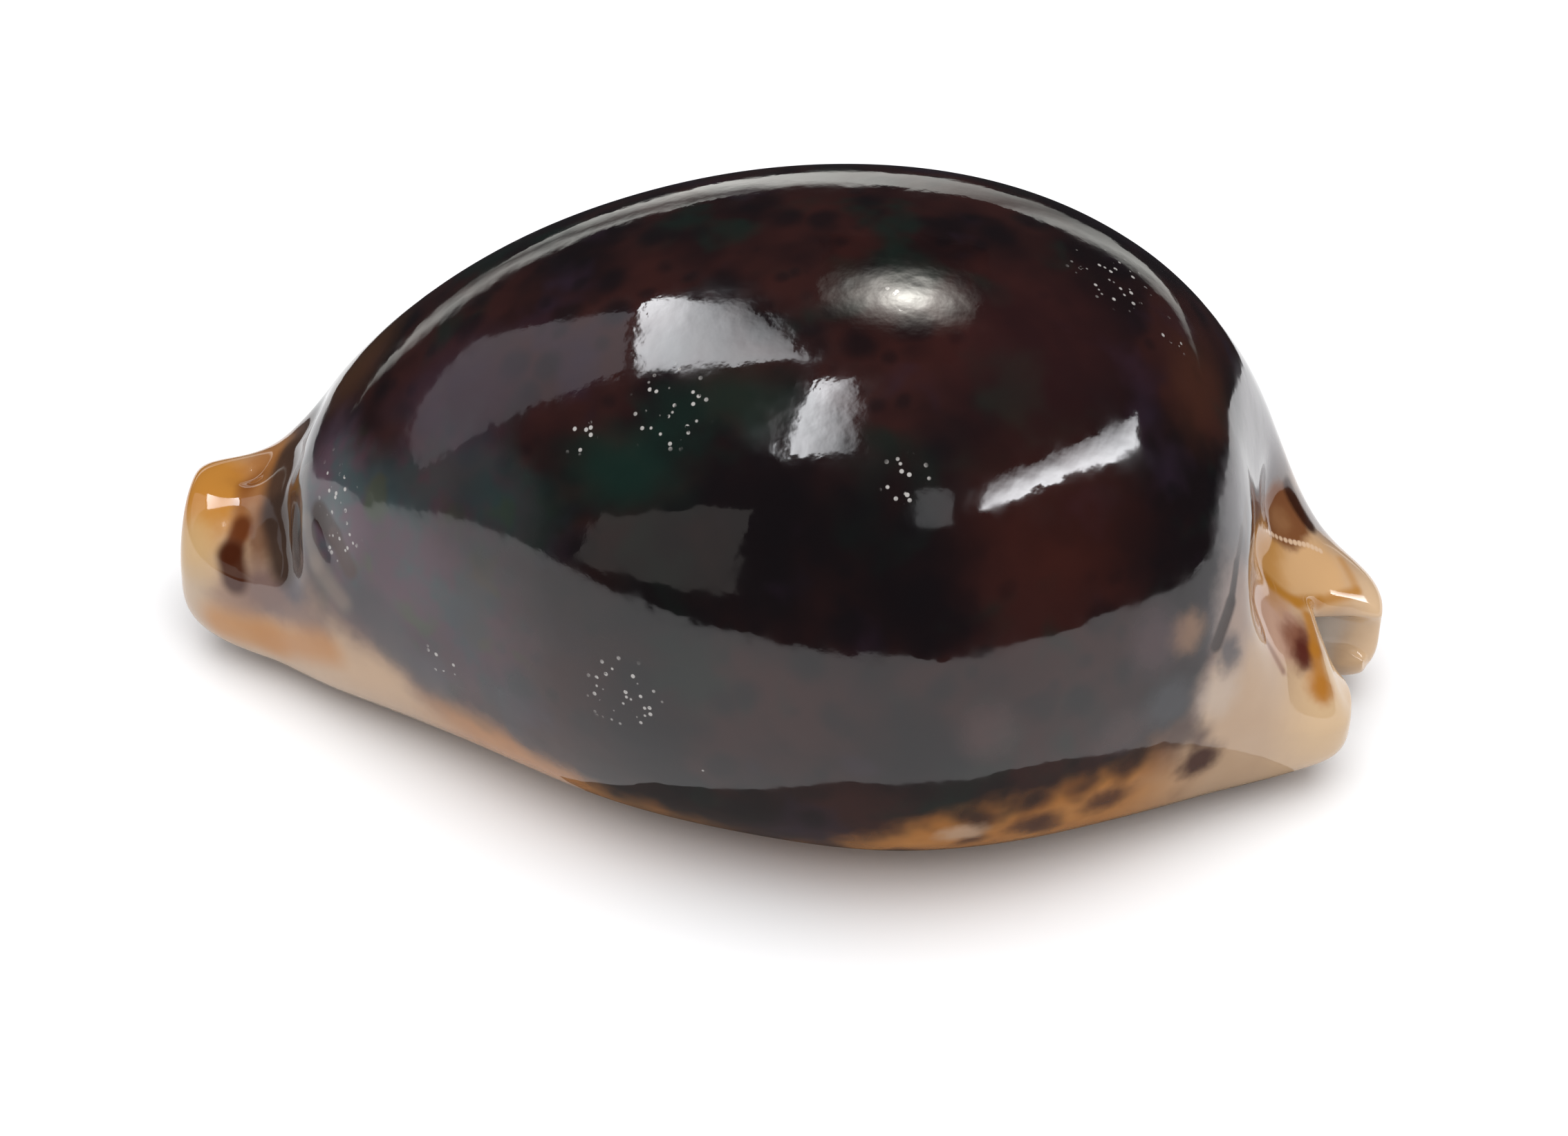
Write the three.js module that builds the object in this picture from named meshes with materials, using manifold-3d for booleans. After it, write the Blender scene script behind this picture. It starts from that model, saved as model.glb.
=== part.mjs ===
// A panther cowrie shell, lying on its base as it would on a table. Millimetres, +Z up.
// +X is the posterior end, -X the anterior end, +Y the labral side and -Y the columellar side.
// The shell is one piece: a hollow dome whose rim rolls in under it to two toothed lips, with a slit
// between them that runs the whole length and opens at both ends.
import * as THREE from "three";
import { LoftGeometry } from "three/addons/geometries/LoftGeometry.js";
import { mergeVertices } from "three/addons/utils/BufferGeometryUtils.js";
import Module from "manifold-3d";

// Enamel, seen from a step away
const ENAMEL = { color: 0x2e1c18, roughness: 0.08, metalness: 0 };

// Stations along the shell, the controls of a uniform cubic B-spline: the skin passes close to them
// and has no kinks between them.
const COLUMNS = [
  "x",
  "columellar", // half width on the -Y side
  "labral", // half width on the +Y side
  "crown", // height of the back
  "columellarHip", // height of the widest point on the -Y side
  "labralHip", // height of the widest point on the +Y side
  "base", // height of the underside
  "slit", // where the middle of the aperture lies in Y
  "gap", // half width of the aperture between the lips
  "chamber", // 0 where the inside is only a canal, 1 where it is the whole body chamber
  "full", // share of the wall's thickness that is left: the rims round off to 0 at both tips
];
const STATIONS = [
  [-35.2, 3.9, 4.0, 10.5, 6.0, 6.2, 2.2, 0.8, 1.8, 0, 0],
  [-35.2, 4.3, 4.3, 10.7, 5.9, 6.0, 2.0, 0.8, 1.8, 0, 0.42],
  [-34.5, 4.8, 4.6, 10.8, 5.8, 5.8, 1.7, 0.9, 1.8, 0, 0.78],
  [-32.7, 5.6, 5.1, 11.0, 5.6, 5.6, 1.4, 1.0, 1.8, 0, 0.97],
  [-30.6, 6.4, 6.1, 11.6, 5.8, 5.8, 1.1, 1.2, 1.8, 0, 1],
  [-28.6, 7.1, 7.8, 14.0, 6.4, 6.2, 0.8, 1.4, 1.9, 0.2, 1],
  [-26.0, 9.2, 10.4, 18.1, 7.2, 6.8, 0.5, 1.7, 2.0, 0.6, 1],
  [-22.0, 11.2, 13.3, 22.4, 8.6, 7.6, 0.2, 2.0, 2.1, 1, 1],
  [-16.0, 14.5, 16.5, 27.0, 9.8, 8.2, 0.0, 2.3, 2.1, 1, 1],
  [-8.0, 19.3, 19.1, 30.7, 10.6, 8.8, -0.15, 2.5, 2.0, 1, 1],
  [0.0, 21.1, 20.7, 32.6, 11.0, 9.0, -0.15, 2.6, 1.8, 1, 1],
  [8.0, 21.8, 21.0, 32.9, 11.0, 9.0, -0.15, 2.6, 1.7, 1, 1],
  [15.0, 19.5, 19.5, 31.6, 10.8, 8.8, 0.0, 2.4, 1.7, 1, 1],
  [20.5, 15.9, 16.9, 28.9, 10.0, 8.4, 0.15, 2.1, 1.7, 1, 1],
  [24.5, 12.8, 14.8, 25.2, 9.0, 7.8, 0.4, 1.7, 1.8, 0.85, 1],
  [27.2, 10.5, 12.6, 21.6, 8.0, 7.2, 0.6, 1.4, 1.9, 0.35, 1],
  [29.2, 9.2, 10.2, 15.5, 7.0, 6.6, 0.9, 1.0, 1.9, 0.05, 1],
  [31.0, 8.2, 8.7, 11.6, 6.2, 6.0, 1.1, 0.7, 1.6, 0, 1],
  [32.8, 7.4, 7.5, 10.7, 5.7, 5.4, 1.2, 0.4, 1.4, 0, 0.95],
  [34.4, 7.3, 6.5, 10.4, 5.4, 5.0, 1.2, 0.3, 1.3, 0, 0.74],
  [35.1, 7.4, 5.4, 10.2, 5.2, 4.7, 1.3, 0.2, 1.3, 0, 0.4],
  [35.1, 7.5, 4.9, 10.2, 5.1, 4.5, 1.4, 0.2, 1.3, 0, 0],
];

// How square the curves of a section are: 2 is an ellipse, more is squarer
const BASE_SQUARENESS = 2.6;
const DOME_SQUARENESS = 2.15;

// Wall
const BACK_WALL = 1.8; // over the body chamber
const SIDE_WALL = 3.2; // at the margins
const CANAL_ROOF = 3.1; // over the canals
const LIP_RADIUS = 2.2; // round of each lip, where the base turns up into the aperture
const LIP_TOP = 0.7; // from there up to where the lining starts

// The posterior end: what stands back from the tips of the two lobes, in X. The notch is as deep as its
// depth at the crown, over the canal, and the dome starts to draw back at from.
const NOTCH = { depth: 4.2, from: 19, bend: 1.6 };
const NEAR_LOBE_SHORT = 1.4; // the columellar lobe is the shorter one
const LOBE_FOOT = { near: 1.9, far: 0.8 }; // the lobes round off towards the table
const FAR_LOBE_TOP = 0.3; // how far up the labral lobe stays out at full length
const LOBES_FROM = 27;
const LINING_FREE = [30.5, 33.5]; // from here on the lining follows the lobes
const SNOUT_FOOT = 0.6; // the anterior end has no notch, and rounds off below

// Shallow hollows in the skin: where, how wide, how deep
const HOLLOWS = [
  { at: [-31.0, 0.5, 11.5], radius: 2.8, depth: 0.7 }, // behind the rim of the snout
  { at: [-29.0, -4.5, 10.5], radius: 2.6, depth: 0.8 }, // crease where the dome rises from the snout
  { at: [27.0, -6.0, 13.0], radius: 2.8, depth: 0.6 }, // beside the buried spire
  { at: [31.6, 3.6, 11.2], radius: 2.4, depth: 0.8 }, // bowl over the posterior canal
];

// Teeth: one ridge across the round of each lip at every crest
const TEETH = 23;
const TOOTH_SPAN = 27.5; // from the middle to the last tooth
const TOOTH_CREST = 0.3;
const TOOTH_GROOVE = -0.4;
const TOOTH_SHARES = [0.8, 1, 0.9, 0.3]; // of that, at the points of the lip's round from its edge on

// Detail of the mesh
const SEGMENTS = { lip: 3, base: 6, dome: 8 };
const END_RINGS = 10;

const LAST = STATIONS.length - 1;
const { clamp, lerp, smoothstep } = THREE.MathUtils;

// The station at t along the spline, t from 0 to LAST. Past its ends the controls go straight on, so
// that the spline starts and stops on them.
function station(t) {
  const i = Math.min(Math.floor(t), LAST - 1);
  const f = t - i;
  const weights = [
    (1 - f) ** 3 / 6,
    (3 * f ** 3 - 6 * f ** 2 + 4) / 6,
    (-3 * f ** 3 + 3 * f ** 2 + 3 * f + 1) / 6,
    f ** 3 / 6,
  ];
  const control = (k, column) => {
    if (k < 0) return 2 * STATIONS[0][column] - STATIONS[1][column];
    if (k > LAST) return 2 * STATIONS[LAST][column] - STATIONS[LAST - 1][column];
    return STATIONS[k][column];
  };
  const value = (column) => weights.reduce((sum, weight, k) => sum + weight * control(i - 1 + k, column), 0);
  return Object.fromEntries(COLUMNS.map((name, column) => [name, value(column)]));
}

// The t whose station stands at x, found by halving
function along(x) {
  let low = 0;
  let high = LAST;
  while (high - low > 1e-6) {
    const middle = (low + high) / 2;
    if (station(middle).x < x) low = middle;
    else high = middle;
  }
  return low;
}

// A quarter of a superellipse from p to q, both [y, z], without p. When level, it leaves p along Y and
// meets q along Z, otherwise the other way round. A crowding above 1 sets the points closer near p.
function quarter(p, q, { squareness, segments, level, crowding = 1 }) {
  return Array.from({ length: segments }, (_, k) => {
    const angle = (((k + 1) / segments) ** crowding * Math.PI) / 2;
    const gone = Math.sin(angle) ** (2 / squareness);
    const left = Math.max(Math.cos(angle), 0) ** (2 / squareness);
    if (level) return [lerp(p[0], q[0], gone), lerp(q[1], p[1], left)];
    return [lerp(q[0], p[0], left), lerp(p[1], q[1], gone)];
  });
}

// One side of a section as named points, side 1 for the labral and -1 for the columellar one
function sideOf(s, side) {
  const width = side > 0 ? s.labral : s.columellar;
  const hip = side > 0 ? s.labralHip : s.columellarHip;
  const lip = s.slit + side * s.gap;
  return { side, lip, hip: [side * width, hip], width, edge: s.base + LIP_RADIUS };
}

// The outside of one side, from the lip round to the crown
function skin(s, { side, lip, hip, width, edge }) {
  const foot = [lip + side * Math.min(LIP_RADIUS, (width - side * lip) / 2), s.base];
  const crown = [0, s.crown];
  return [
    [lip, edge],
    ...quarter([lip, edge], foot, { squareness: 2, segments: SEGMENTS.lip, level: false }),
    ...quarter(foot, hip, {
      squareness: BASE_SQUARENESS,
      segments: SEGMENTS.base,
      level: true,
      crowding: 1.5,
    }),
    ...quarter(hip, crown, { squareness: DOME_SQUARENESS, segments: SEGMENTS.dome, level: false }),
  ];
}

// The inside of one side, point for point with the skin. In the canals it is half a narrow arch, in
// the body half of the chamber.
function lining(s, { side, lip, hip, width, edge }) {
  const start = edge + LIP_TOP;
  const roof = s.crown - CANAL_ROOF;
  const spring = Math.max(roof - s.gap, start + 0.3);
  const grown = (canal, body) => canal.map((value, k) => lerp(value, body[k], s.chamber));
  const wall = grown([lip, spring], [side * (width - SIDE_WALL), hip[1] + 1]);
  const vault = grown([s.slit, roof], [0, s.crown - BACK_WALL]);
  const segments = SEGMENTS.lip + SEGMENTS.base;
  const floor = Array.from({ length: segments + 1 }, (_, k) => {
    const angle = ((k / segments) * Math.PI) / 2;
    const out = lerp(k / segments, Math.sin(angle) ** 1.3, s.chamber);
    const up = lerp(k / segments, 1 - Math.max(Math.cos(angle), 0) ** 0.9, s.chamber);
    return [lerp(lip + side * 0.12, wall[0], out), lerp(start, wall[1], up)];
  });
  const over = quarter(wall, vault, { squareness: DOME_SQUARENESS, segments: SEGMENTS.dome, level: false });
  return [...floor, ...over];
}

// How far the points of one side stand back from the tips of the lobes, those of the skin and those of the
// lining. Up to the lobes the lining goes back with the skin that is right over it, so that the wall keeps
// its thickness where the dome falls steeply to the notch.
function standBack(s, { side, width }, lining) {
  const low = SEGMENTS.lip + SEGMENTS.base;
  const foot = Array.from({ length: low + 1 }, (_, k) => 1 - smoothstep(k / low, 0, 0.9));
  const up = Array.from({ length: SEGMENTS.dome }, (_, k) => (k + 1) / SEGMENTS.dome);
  if (s.x < 0) {
    const blunt = SNOUT_FOOT * smoothstep(-s.x, 28, 35);
    const both = [...foot.map((share) => blunt * share), ...up.map(() => 0)];
    return { outer: both, inner: both };
  }
  const tip = smoothstep(s.x, LOBES_FROM, 35);
  const roof = NOTCH.depth * clamp((s.x - NOTCH.from) / (35 - NOTCH.from), 0, 1) ** NOTCH.bend;
  const lobe = side > 0 ? 0 : NEAR_LOBE_SHORT * tip;
  const rise = (share) => (side > 0 ? smoothstep(share, FAR_LOBE_TOP, 1) : share ** 0.9);
  const toe = tip * (side > 0 ? LOBE_FOOT.far : LOBE_FOOT.near);
  const under = foot.map((share) => lobe + toe * share);
  const over = up.map((share) => lerp(lobe, roof, rise(share)));
  const outer = [...under, ...over];
  const free = smoothstep(s.x, ...LINING_FREE);
  const inner = outer.map((back, k) => {
    const out = clamp(Math.abs(lining[k][0]) / width, 0, 1) ** (DOME_SQUARENESS / 2);
    const overhead = lerp(lobe, roof, rise((2 / Math.PI) * Math.acos(out)));
    const held = (1 - free) * smoothstep(k / low, 0.3, 1);
    return lerp(back, Math.max(back, overhead), held);
  });
  return { outer, inner };
}

// The skin pressed in at the hollows, towards the middle of its own section
function press(point) {
  const inward = new THREE.Vector3(0, 0.3, 6).sub(point).setX(0).normalize();
  const depths = HOLLOWS.map(({ at, radius, depth }) => {
    const far = point.distanceTo(new THREE.Vector3(...at));
    return depth * Math.exp(-((far / radius) ** 2));
  });
  const deep = depths.reduce((sum, depth) => sum + depth, 0);
  return point.clone().addScaledVector(inward, deep);
}

// One side's skin and lining at t. tooth moves the round of the lip out for a crest and in for a groove.
function halfRing(s, side, tooth) {
  const half = sideOf(s, side);
  const innerCurve = lining(s, half);
  const back = standBack(s, half, innerCurve);
  const place = ([y, z], stood) => new THREE.Vector3(s.x - Math.sign(s.x) * stood, y, z);
  const outside = skin(s, half).map((point, k) => press(place(point, back.outer[k])));
  const inside = innerCurve.map((point, k) => place(point, back.inner[k]));
  for (const [k, share] of TOOTH_SHARES.entries()) {
    const centre = new THREE.Vector3(outside[k].x, half.lip + side * LIP_RADIUS, half.edge);
    outside[k].addScaledVector(outside[k].clone().sub(centre).normalize(), tooth * share);
  }
  inside[0].y -= side * tooth * TOOTH_SHARES[0];
  for (const [k, point] of outside.entries()) {
    const middle = point.clone().lerp(inside[k], 0.5);
    point.lerpVectors(middle, point, s.full).setZ(Math.max(point.z, 0));
    inside[k].lerpVectors(middle, inside[k], s.full);
  }
  return { outside, inside };
}

// One closed ring of the wall: over the back along the skin, and home along the lining
function ring(t, tooth) {
  const s = station(t);
  const labral = halfRing(s, 1, tooth);
  const columellar = halfRing(s, -1, tooth);
  return [
    ...labral.outside,
    ...columellar.outside.toReversed().slice(1),
    ...columellar.inside,
    ...labral.inside.toReversed().slice(1),
  ];
}

function rings() {
  const first = along(-TOOTH_SPAN);
  const last = along(TOOTH_SPAN);
  const evenly = (from, to) => Array.from({ length: END_RINGS }, (_, k) => lerp(from, to, k / END_RINGS));
  const toothed = Array.from({ length: 2 * TEETH - 1 }, (_, k) => {
    const x = lerp(-TOOTH_SPAN, TOOTH_SPAN, k / (2 * TEETH - 2));
    return ring(along(x), k % 2 === 0 ? TOOTH_CREST : TOOTH_GROOVE);
  });
  return [
    ...evenly(0, first).map((t) => ring(t, 0)),
    ...toothed,
    ...evenly(LAST, last).map((t) => ring(t, 0)).reverse(),
  ];
}

// A closed geometry as a checked solid
function solidOf(geometry) {
  const plain = new THREE.BufferGeometry();
  plain.setAttribute("position", geometry.getAttribute("position"));
  plain.setIndex(geometry.getIndex());
  const merged = mergeVertices(plain, 1e-4);
  const corners = Array.from(merged.index.array);
  const faces = Array.from({ length: corners.length / 3 }, (_, k) => corners.slice(3 * k, 3 * k + 3));
  // where the rims close, two sides of a face meet and it has no area
  const kept = faces.filter(([a, b, c]) => a !== b && b !== c && c !== a);
  return new wasm.Manifold(
    new wasm.Mesh({
      numProp: 3,
      vertProperties: merged.attributes.position.array,
      triVerts: new Uint32Array(kept.flat()),
    }),
  );
}

function geometryOf(solid) {
  const mesh = solid.getMesh();
  const geometry = new THREE.BufferGeometry();
  geometry.setAttribute("position", new THREE.BufferAttribute(mesh.vertProperties, 3));
  geometry.setIndex(new THREE.BufferAttribute(mesh.triVerts, 1));
  geometry.computeVertexNormals();
  return geometry;
}

const wasm = await Module();
wasm.setup();

const wall = solidOf(new LoftGeometry(rings()));
const shell = new THREE.Mesh(geometryOf(wall), new THREE.MeshStandardMaterial(ENAMEL));
shell.name = "shell";

// The origin is on the table, under the middle of the shell
const box = new THREE.Box3().setFromObject(shell);
const middle = box.getCenter(new THREE.Vector3());
shell.geometry.translate(-middle.x, -middle.y, -box.min.z);

const cowrie = new THREE.Group();
cowrie.add(shell);

export default cowrie;
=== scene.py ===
import math

import bmesh
import bpy
from mathutils import Matrix, Vector


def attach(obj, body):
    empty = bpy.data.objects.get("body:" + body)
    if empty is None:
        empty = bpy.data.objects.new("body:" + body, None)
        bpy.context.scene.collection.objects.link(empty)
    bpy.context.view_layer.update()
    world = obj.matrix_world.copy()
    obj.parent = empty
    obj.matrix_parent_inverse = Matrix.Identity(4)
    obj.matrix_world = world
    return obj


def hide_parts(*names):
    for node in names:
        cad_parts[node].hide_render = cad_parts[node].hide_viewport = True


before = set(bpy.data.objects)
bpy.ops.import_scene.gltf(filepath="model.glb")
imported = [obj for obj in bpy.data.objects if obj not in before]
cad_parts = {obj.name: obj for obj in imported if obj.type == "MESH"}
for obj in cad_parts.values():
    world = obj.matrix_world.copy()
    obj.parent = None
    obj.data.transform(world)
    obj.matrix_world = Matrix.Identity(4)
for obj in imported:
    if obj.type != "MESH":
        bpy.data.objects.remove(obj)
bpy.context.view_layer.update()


# Shell: the hollow, one-piece shell of a panther cowrie, lying on its base. It is calcium carbonate
# that the animal laid down in layers, and its mantle glazed the outside with a hard, mirror-bright
# enamel. The wall is grown as one ring, carried from station to station along the shell.

# Controls of a cubic B-spline, in mm: x, columellar and labral half width, crown, height of the widest
# point on either side, underside, middle and half width of the aperture, share of chamber, share of wall
STATIONS = [
    (-35.2, 3.9, 4.0, 10.5, 6.0, 6.2, 2.2, 0.8, 1.8, 0, 0),
    (-35.2, 4.3, 4.3, 10.7, 5.9, 6.0, 2.0, 0.8, 1.8, 0, 0.42),
    (-34.5, 4.8, 4.6, 10.8, 5.8, 5.8, 1.7, 0.9, 1.8, 0, 0.78),
    (-32.7, 5.6, 5.1, 11.0, 5.6, 5.6, 1.4, 1.0, 1.8, 0, 0.97),
    (-30.6, 6.4, 6.1, 11.6, 5.8, 5.8, 1.1, 1.2, 1.8, 0, 1),
    (-28.6, 7.1, 7.8, 14.0, 6.4, 6.2, 0.8, 1.4, 1.9, 0.2, 1),
    (-26.0, 9.2, 10.4, 18.1, 7.2, 6.8, 0.5, 1.7, 2.0, 0.6, 1),
    (-22.0, 11.2, 13.3, 22.4, 8.6, 7.6, 0.2, 2.0, 2.1, 1, 1),
    (-16.0, 14.5, 16.5, 27.0, 9.8, 8.2, 0.0, 2.3, 2.1, 1, 1),
    (-8.0, 19.3, 19.1, 30.7, 10.6, 8.8, -0.15, 2.5, 2.0, 1, 1),
    (0.0, 21.1, 20.7, 32.6, 11.0, 9.0, -0.15, 2.6, 1.8, 1, 1),
    (8.0, 21.8, 21.0, 32.9, 11.0, 9.0, -0.15, 2.6, 1.7, 1, 1),
    (15.0, 19.5, 19.5, 31.6, 10.8, 8.8, 0.0, 2.4, 1.7, 1, 1),
    (20.5, 15.9, 16.9, 28.9, 10.0, 8.4, 0.15, 2.1, 1.7, 1, 1),
    (24.5, 12.8, 14.8, 25.2, 9.0, 7.8, 0.4, 1.7, 1.8, 0.85, 1),
    (27.2, 10.5, 12.6, 21.6, 8.0, 7.2, 0.6, 1.4, 1.9, 0.35, 1),
    (29.2, 9.2, 10.2, 15.5, 7.0, 6.6, 0.9, 1.0, 1.9, 0.05, 1),
    (31.0, 8.2, 8.7, 11.6, 6.2, 6.0, 1.1, 0.7, 1.6, 0, 1),
    (32.8, 7.4, 7.5, 10.7, 5.7, 5.4, 1.2, 0.4, 1.4, 0, 0.95),
    (34.4, 7.3, 6.5, 10.4, 5.4, 5.0, 1.2, 0.3, 1.3, 0, 0.74),
    (35.1, 7.4, 5.4, 10.2, 5.2, 4.7, 1.3, 0.2, 1.3, 0, 0.4),
    (35.1, 7.5, 4.9, 10.2, 5.1, 4.5, 1.4, 0.2, 1.3, 0, 0),
]
BASE_SQUARENESS = 2.6
DOME_SQUARENESS = 2.15
BACK_WALL = 1.8
SIDE_WALL = 3.2
CANAL_ROOF = 3.1
LIP_RADIUS = 2.2
LIP_TOP = 0.7
LINING_IN = 0.12

# how far parts of the two ends stand back in X, and from which x on; side 1 is the labral one, -1 the
# columellar one
NOTCH_DEPTH = 4.2
NOTCH_FROM = 19
NOTCH_BEND = 1.6
NEAR_LOBE_SHORT = 1.4
LOBE_FOOT = {1: 0.8, -1: 1.9}
FAR_LOBE_TOP = 0.3
LOBES_FROM = 27
SNOUT_FOOT = 0.6
SNOUT_FROM = 28
END_AT = 35
LINING_FREE = (30.5, 33.5)

# hollows in the skin, pressed in towards the line HOLLOWS_TOWARD: middle, radius, depth, in mm
HOLLOWS_TOWARD = (0, 0.3, 6)
HOLLOWS = [
    ((-31.0, 0.5, 11.5), 2.8, 0.7),
    ((-29.0, -4.5, 10.5), 2.6, 0.8),
    ((31.6, 3.6, 11.2), 2.4, 0.8),
    # finer ones: the collar behind the snout, the two creases beside it, the groove over the spire
    ((-31.4, -3.5, 9.9), 1.4, 0.45),
    ((-31.3, 0.8, 11.0), 1.4, 0.5),
    ((-25.4, -7.0, 14.3), 1.1, 0.6),
    ((-24.4, -8.4, 13.4), 1.1, 0.5),
    ((26.3, -4.2, 19.0), 1.1, 0.3),
    ((26.2, -6.2, 18.3), 1.2, 0.4),
    ((25.9, -8.2, 17.2), 1.2, 0.45),
    ((25.6, -9.7, 15.8), 1.2, 0.45),
    ((25.2, -10.6, 14.4), 1.2, 0.35),
    ((29.4, -5.2, 10.6), 1.8, 0.35),
]

# scoops, which move the whole wall: middle, radius, push, in mm. Those at the anterior end are the
# trough behind the snout, those at the posterior end the pit under the neck, with a raised foot.
SCOOPS = [
    ((-28.3, -4.6, 11.6), 1.7, (0.55, 0.25, -0.40)),
    ((-28.6, -1.5, 12.9), 1.8, (0.60, 0.10, -0.45)),
    ((-28.3, 1.8, 13.6), 1.9, (0.55, 0.00, -0.35)),
    ((-27.9, -6.4, 10.2), 1.4, (0.40, 0.30, -0.20)),
    ((28.3, 4.2, 13.4), 2.1, (-0.85, 0.00, -0.45)),
    ((30.3, 4.0, 10.4), 1.8, (0.30, 0.00, 0.30)),
    ((28.1, -0.6, 13.6), 2.1, (-0.75, 0.00, -0.40)),
    ((27.8, -4.6, 13.8), 2.3, (-0.85, 0.00, -0.45)),
    ((29.8, -4.8, 10.4), 1.6, (0.30, 0.00, 0.25)),
]

# the spoon-shaped inner face of the labral lobe: middle, radius, depth, in mm
SPOON = ((33.2, 2.2, 4.9), 1.9, 0.7)

# teeth: ridges across the round of each lip, as far as TOOTH_REACH points in from its edge
TOOTH_PITCH = 2.5
TOOTH_SPAN = 27.5
TOOTH_CREST = 0.42
TOOTH_GROOVE = -0.5
TOOTH_REACH = 7.0

# detail of the mesh: points of half a ring's lip, base and dome, rings of each toothless end, and the
# pitch of the rings between them, in mm
LIP_POINTS = 6
BASE_POINTS = 9
DOME_POINTS = 22
LOW_POINTS = LIP_POINTS + BASE_POINTS
END_RINGS = 20
RING_STEP = 0.5


def lerp(a, b, share):
    return a + (b - a) * share


def ease(value, low, high):
    share = min(max((value - low) / (high - low), 0.0), 1.0)
    return share * share * (3 - 2 * share)


def station(t):
    """The section's measures at t along the spline, t from 0 to the last station."""
    i = min(int(t), len(STATIONS) - 2)
    f = t - i
    weights = (
        (1 - f) ** 3 / 6,
        (3 * f**3 - 6 * f**2 + 4) / 6,
        (-3 * f**3 + 3 * f**2 + 3 * f + 1) / 6,
        f**3 / 6,
    )
    first = tuple(2 * a - b for a, b in zip(STATIONS[0], STATIONS[1]))
    last = tuple(2 * a - b for a, b in zip(STATIONS[-1], STATIONS[-2]))
    controls = (first, *STATIONS, last)[i : i + 4]
    return [sum(w * row[c] for w, row in zip(weights, controls)) for c in range(11)]


def along(x):
    """The t whose station stands at x, found by halving."""
    low, high = 0.0, len(STATIONS) - 1.0
    while high - low > 1e-6:
        middle = (low + high) / 2
        low, high = (middle, high) if station(middle)[0] < x else (low, middle)
    return low


def quarter(p, q, squareness, points, level, crowding=1.0):
    """A quarter of a superellipse from p to q, without p. When level, it leaves p along Y."""
    curve = []
    for k in range(1, points + 1):
        angle = (k / points) ** crowding * math.pi / 2
        gone = math.sin(angle) ** (2 / squareness)
        left = max(math.cos(angle), 0.0) ** (2 / squareness)
        if level:
            curve.append((lerp(p[0], q[0], gone), lerp(q[1], p[1], left)))
        else:
            curve.append((lerp(q[0], p[0], left), lerp(p[1], q[1], gone)))
    return curve


def notch_rise(share, side):
    """The share of the notch's depth, for the share of the way from the hip to the crown."""
    return ease(share, FAR_LOBE_TOP, 1) if side > 0 else share**0.9


def bell(point, at, radius):
    return math.exp(-(((point - Vector(at)).length / radius) ** 2))


def scooped(point):
    push = Vector()
    for at, radius, move in SCOOPS:
        if abs(at[0] - point.x) < 3 * radius:
            push += Vector(move) * bell(point, at, radius)
    return push


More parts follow.
